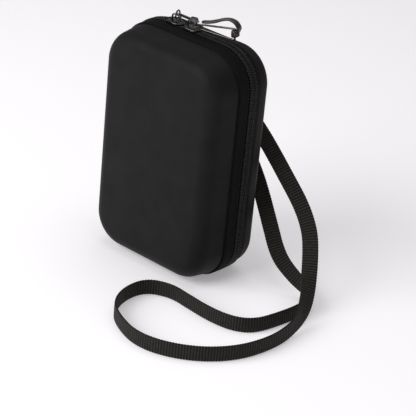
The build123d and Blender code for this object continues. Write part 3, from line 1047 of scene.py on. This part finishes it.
# ------------------------------------------------------------ strap hardware

ring_wire, ring_half_width, ring_depth = 1.1, 6.9, 9.0
ring_corner, bow_rise = 1.9, 5.5
ring_tilt, clasp_tilt = 18.0, -20.0
hook_radius, hook_wire = 4.2, 1.0
hook_from, hook_turn = 50, 275
hook_centre = hook_wire + ring_wire + 0.2 - hook_radius     # below the inside of the ring's bow
body_top = hook_centre - hook_radius + 0.6
body_length = 5.35
# (radius, height below the top) of the clasp's turned body, down to the swivel
body_profile = ((0.3, 0.2), (1.5, 0.0), (2.2, -0.6), (2.5, -1.6), (2.5, -2.6), (2.1, -3.0), (2.1, -3.4),
                (2.55, -3.8), (2.55, -5.0), (2.2, -5.3), (1.4, -body_length))
ferrule_half_width, ferrule_half_thick = 5.7, 2.2
# (distance below the top, share of the full section) of the ferrule: outside down, then inside up
ferrule_profile = ((0, 0.8), (0.5, 0.95), (1.1, 1.0), (3.0, 1.0), (3.4, 0.93), (3.9, 0.93), (4.3, 1.0),
                   (6.9, 1.0), (7.1, 0.97), (6.8, 0.86), (1.8, 0.85))


def build_tab():
    low, high = box("tab_patch")
    middle_x, middle_z, y = (low.x + high.x) / 2, (low.z + high.z) / 2, high.y
    half_x, half_z = (high.x - low.x) / 2, (high.z - low.z) / 2
    outline = [(p.x, p.y) for p in rounded_rectangle(half_x, half_z, 2.6)]
    seat = move(middle_x, low.y - 0.15, middle_z) @ turn("X", 90) @ Matrix.Scale(-1, 4, (0, 0, 1))
    closed_piece("tab_backing", placed(plate_parts(outline, 0, high.y - low.y + 0.1, 0.4), seat), patch_hide,
                 "rear_case", "patch_leather", "tab_patch")

    bar, wrap = pivot("strap_ring_swing"), 1.75
    loop = [(0, y + 0.55, high.z - 1.6), (0, y + 0.55, bar.z + 4.5), (0, y + 0.5, bar.z + 1.5)]
    for degrees in range(190, -21, -15):
        angle = math.radians(degrees)
        loop.append((0, bar.y + wrap * math.cos(angle), bar.z - wrap * math.sin(angle)))
    loop += [(0, y + 2.3, bar.z + 4.2), (0, y + 1.65, bar.z + 6.0), (0, y + 1.6, high.z - 1.6)]
    path = smooth_path(loop, 6)
    closed_piece("ring_tab", strip_parts(path, [(1, 0, 0)] * len(path), 5.0, 0.5), strap_cloth,
                 "rear_case", "webbing", "strap_tab")

    # Stitches round the patch, and a box with a cross through both layers of the tab
    inset = rounded_rectangle(half_x - 1.3, half_z - 1.3, 1.6)
    inner = [Vector((middle_x + p.x, y - 0.03, middle_z + p.y)) for p in inset]
    seams = [stitch_parts(inner + inner[:1], (0, 1, 0), 1.9, 1.35, 0.17)]
    top, bottom = high.z - 2.4, bar.z + 5.4
    for line in (((-3.6, bottom), (3.6, bottom), (3.6, top), (-3.6, top), (-3.6, bottom)),
                 ((-3.4, bottom + 0.2), (3.4, top - 0.2)), ((3.4, bottom + 0.2), (-3.4, top - 0.2))):
        spots = [Vector((x, y + 2.13, z)) for x, z in line]
        seams.append(stitch_parts(spots, (0, 1, 0), 1.5, 1.1, 0.15))
    sew("tab_stitch", "rear_case", "webbing", *seams)


def ring_frame():
    return move(*pivot("strap_ring_swing")) @ turn("X", ring_tilt)


def arc_through(half, side_z, low_z):
    """Centre height and radius of the arc through (+-half, side_z) with its lowest point at low_z."""
    rise = side_z - low_z
    radius = (half * half + rise * rise) / (2 * rise)
    return low_z + radius, radius


def build_d_ring():
    """A straight bar on top, small corners, and a round bow below."""
    flat = ring_half_width - ring_corner
    corner = []
    for degrees in (20, 45, 70, 90):
        angle = math.radians(degrees)
        corner.append((flat + ring_corner * math.sin(angle), ring_corner * (math.cos(angle) - 1)))
    side_z = bow_rise - ring_depth
    centre_z, radius = arc_through(ring_half_width, side_z, -ring_depth)
    start = math.atan2(side_z - centre_z, ring_half_width)
    bow = []
    for k in range(19):
        angle = start + (-math.pi - 2 * start) * k / 18
        bow.append((radius * math.cos(angle), centre_z + radius * math.sin(angle)))
    around = [(-flat, 0), (flat, 0)] + corner + bow + [(-x, z) for x, z in corner[::-1]]
    ring = tube_parts([(x, 0, z) for x, z in around], ring_wire, closed=True, sides=14)
    closed_piece("strap_d_ring", placed(ring, ring_frame()), ring_metal,
                 "strap_ring", "black_metal", "d_ring")


def build_clasp():
    place = ring_frame() @ move(0, 0, -ring_depth) @ turn("Y", clasp_tilt)
    hook = []
    for k in range(23):
        angle = math.radians(hook_from + hook_turn * k / 22)
        hook.append((0, hook_radius * math.cos(angle), hook_centre + hook_radius * math.sin(angle)))
    sides = 20
    turned = [(x, y, body_top + z) for radius, z in body_profile for x, y in circle(radius, sides)]
    parts = [tube_parts(hook, hook_wire + 0.02, sides=14), (turned, loft_faces(len(body_profile), sides))]
    pin_z, ear_width = body_top - 0.8, 0.95
    for x in (-1.9, 0.95):
        ear = [(x, 0.4), (x + ear_width, 0.4), (x + ear_width, 4.7), (x, 4.7)]
        parts.append(plate_parts(ear, pin_z - 1.3, pin_z + 1.0, 0.25))
    closed_piece("clasp_body", placed(merged(parts), place), ring_metal,
                 "clasp", "black_metal", "clasp_hook")

    section = rounded_rectangle(ferrule_half_width, ferrule_half_thick, 1.5)
    top = body_top - body_length - 1.0
    points = [(p.x * share, p.y * share, top - drop) for drop, share in ferrule_profile for p in section]
    ferrule = points, loft_faces(len(ferrule_profile), len(section))
    closed_piece("ferrule_crimp", placed(ferrule, place), ring_metal,
                 "strap_ring", "black_metal", "strap_ferrule")


# --------------------------------------------------------------- wrist strap

# Control points of the strap's centre line: the CAD tube's route, with its ends led into the ferrule
strap_route = [
    (6.2, 31.2, 103.0), (8.7, 32.2, 98.5), (17.5, 32.5, 98.0), (31.5, 32.5, 88.0), (45.5, 30.5, 78.0),
    (59.5, 28.5, 67.0), (74.0, 28.0, 53.5), (85.5, 24.0, 41.5), (93.0, 17.0, 31.0), (99.5, 9.5, 21.0),
    (107.0, 0.0, 13.0), (113.5, -13.0, 7.0), (117.5, -29.0, 5.2), (118.5, -48.0, 5.2), (114.0, -69.0, 5.2),
    (102.0, -87.0, 5.2), (84.0, -99.5, 5.2), (64.0, -104.0, 5.2), (43.5, -97.0, 5.2), (31.0, -88.0, 5.2),
    (23.5, -72.0, 5.2), (24.5, -54.0, 5.2), (39.0, -46.5, 5.2), (54.5, -48.0, 5.2), (73.5, -49.5, 5.2),
    (90.0, -47.0, 5.2), (100.0, -38.5, 5.2), (103.5, -20.5, 5.2), (105.0, -5.5, 5.2), (103.0, 6.0, 5.2),
    (97.5, 14.0, 5.2), (90.5, 18.0, 7.5), (81.0, 17.5, 12.0), (72.0, 16.5, 18.5), (65.0, 18.0, 25.0),
    (59.0, 20.0, 33.0), (51.5, 23.0, 41.5), (44.5, 25.5, 50.0), (36.0, 28.0, 60.0), (24.5, 29.5, 73.0),
    (12.0, 30.5, 85.0), (7.5, 30.2, 96.0), (6.2, 29.7, 102.5),
]
# The webbing's turn at those points: 0 shows its flat side to the front right, 1 is on edge, 2 lies flat
strap_turns = [
    (0, 0.0), (8, 0.0), (10, 0.35), (12, 0.85), (13, 1.0), (28, 1.0), (30, 1.3), (32, 0.7), (34, 0.1),
    (35, 0.0), (42, 0.0),
]
strap_half_width, strap_half_thick = 5.0, 0.5
rib_rise, rib_notch = 0.22, 0.16
stations_per_rib = 5
front_right = Vector((0.574, -0.689, 0.443))
webbing_edge = whole_section([(1.0, 0.0), (0.985, 0.6), (0.93, 0.95), (0.75, 1.0), (0.4, 1.0)], (0.0, 1.0))


def spline_line(route):
    """Points in metres along the smooth line that has the route as control points."""
    curve = bpy.data.curves.new("route", "CURVE")
    curve.dimensions = "3D"
    curve.resolution_u = 40
    spline = curve.splines.new("NURBS")
    spline.points.add(len(route) - 1)
    for point, (x, y, z) in zip(spline.points, route):
        point.co = (x * MM, y * MM, z * MM, 1)
    spline.order_u = 3
    spline.use_endpoint_u = True
    holder = bpy.data.objects.new("route", curve)
    bpy.context.scene.collection.objects.link(holder)
    line = [vertex.co.copy() for vertex in evaluated_mesh(holder).vertices]
    bpy.data.objects.remove(holder)
    return line


def strap_direction(share, tangent):
    """The direction of the width at a share of the spline's own parameter."""
    here = share * (len(strap_route) - 2) + 0.5
    pose = strap_turns[-1][1]
    for (i0, pose0), (i1, pose1) in zip(strap_turns, strap_turns[1:]):
        if here <= i1:
            t = min(1.0, max(0.0, (here - i0) / (i1 - i0)))
            pose = pose0 + (pose1 - pose0) * t * t * (3 - 2 * t)
            break
    upright = Vector((0, 0, 1))
    if pose <= 1:
        return tangent.cross(front_right).lerp(upright, pose).normalized()
    return upright.lerp(tangent.cross(upright), pose - 1).normalized()


def build_strap():
    line = spline_line(strap_route)
    lengths = [0.0]
    for a, b in zip(line, line[1:]):
        lengths.append(lengths[-1] + (b - a).length)
    total, last = lengths[-1], len(line) - 1
    count = round(total / MM / strap_rib * stations_per_rib)
    places, at = [], 0
    for k in range(count + 1):
        distance = total * k / count
        while at < last - 1 and lengths[at + 1] < distance:
            at += 1
        t = (distance - lengths[at]) / max(lengths[at + 1] - lengths[at], 1e-9)
        centre = line[at].lerp(line[at + 1], t) / MM
        tangent = (line[min(at + 2, last)] - line[max(at - 1, 0)]).normalized()
        across = strap_direction((at + t) / last, tangent)
        across = (across - tangent * across.dot(tangent)).normalized()
        ridge = 0.5 + 0.5 * math.cos(distance / MM / strap_rib * 2 * math.pi)
        wide = strap_half_width - rib_notch * (1 - ridge)
        thick = strap_half_thick + rib_rise * ridge ** 0.8
        places.append((centre, across, tangent.cross(across), wide, thick, distance / MM))
    points, faces, lay = band_parts(places, webbing_edge)
    strap = outward(piece("wrist_strap_webbing", points, faces, strap_cloth, lay))
    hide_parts("wrist_strap")
    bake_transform(strap)


# ------------------------------------------------------------- floor, lights

floor_half = 4000
light_target = (0, 0, 0.07)
camera_azimuth, camera_elevation, camera_roll = math.radians(39.8), math.radians(26.3), math.radians(5.6)
camera_distance = 1.124
camera_lens = 154.125       # for a sensor 36 mm wide
camera_aside, camera_height = 0.0175, 0.0333        # the point looked at


def build_stage():
    # The floor glows a little: painted light, which brightens it, softens the shadows on it and lights the
    # case from below.
    s = Shader("floor", (0.86, 0.84, 0.86), 0.75, Specular_IOR_Level=0.25, Emission_Strength=0.26)
    s.bsdf.inputs["Emission Color"].default_value = (1.0, 0.98, 1.0, 1)
    s.tint(s.noise(3.0, 2), (0.86, 0.845, 0.86), (0.88, 0.865, 0.88))
    f = floor_half
    piece("floor", [(-f, -f, 0), (f, -f, 0), (f, f, 0), (-f, f, 0)], [(0, 1, 2, 3)], s.material)


def soft_light(name, place, size, power):
    data = bpy.data.lights.new(name, "AREA")
    data.shape = "RECTANGLE"
    data.size, data.size_y = size
    data.energy = power
    lamp = bpy.data.objects.new(name, data)
    lamp.location = place
    lamp.rotation_mode = "QUATERNION"
    lamp.rotation_quaternion = (Vector(light_target) - Vector(place)).to_track_quat("-Z", "Y")
    bpy.context.scene.collection.objects.link(lamp)


def build_lights():
    world = bpy.data.worlds.new("studio")
    world.use_nodes = True
    background = world.node_tree.nodes["Background"]
    background.inputs["Color"].default_value = (1.0, 0.985, 1.0, 1)
    background.inputs["Strength"].default_value = 0.3
    bpy.context.scene.world = world
    soft_light("key", (-0.35, -1.0, 0.7), (1.0, 0.8), 12.0)
    soft_light("top", (0.0, 0.2, 1.3), (1.2, 1.2), 5.0)
    bpy.context.scene.view_settings.view_transform = "Standard"
    bpy.context.scene.view_settings.look = "None"


def build_camera():
    right = Vector((math.cos(camera_azimuth), math.sin(camera_azimuth), 0))
    ahead = Vector((-math.sin(camera_azimuth), math.cos(camera_azimuth), 0))
    back = Vector((0, 0, math.sin(camera_elevation))) - ahead * math.cos(camera_elevation)
    up = back.cross(right)
    x_axis = right * math.cos(camera_roll) + up * math.sin(camera_roll)
    y_axis = up * math.cos(camera_roll) - right * math.sin(camera_roll)
    target = right * camera_aside + Vector((0, 0, camera_height))
    data = bpy.data.cameras.new("camera")
    data.sensor_width = 36.0
    data.lens = camera_lens
    camera = bpy.data.objects.new("camera", data)
    rotation = Matrix((x_axis, y_axis, back)).transposed()
    camera.matrix_world = Matrix.Translation(target + back * camera_distance) @ rotation.to_4x4()
    bpy.context.scene.collection.objects.link(camera)
    bpy.context.scene.camera = camera


build_camera()
build_strap()
build_shells()
build_tapes()
build_coil()
build_gusset()
build_pulls()
build_bindings()
build_elastic_band()
build_pocket_net()
build_pocket_edges()
build_tab()
build_d_ring()
build_clasp()
build_stage()
build_lights()
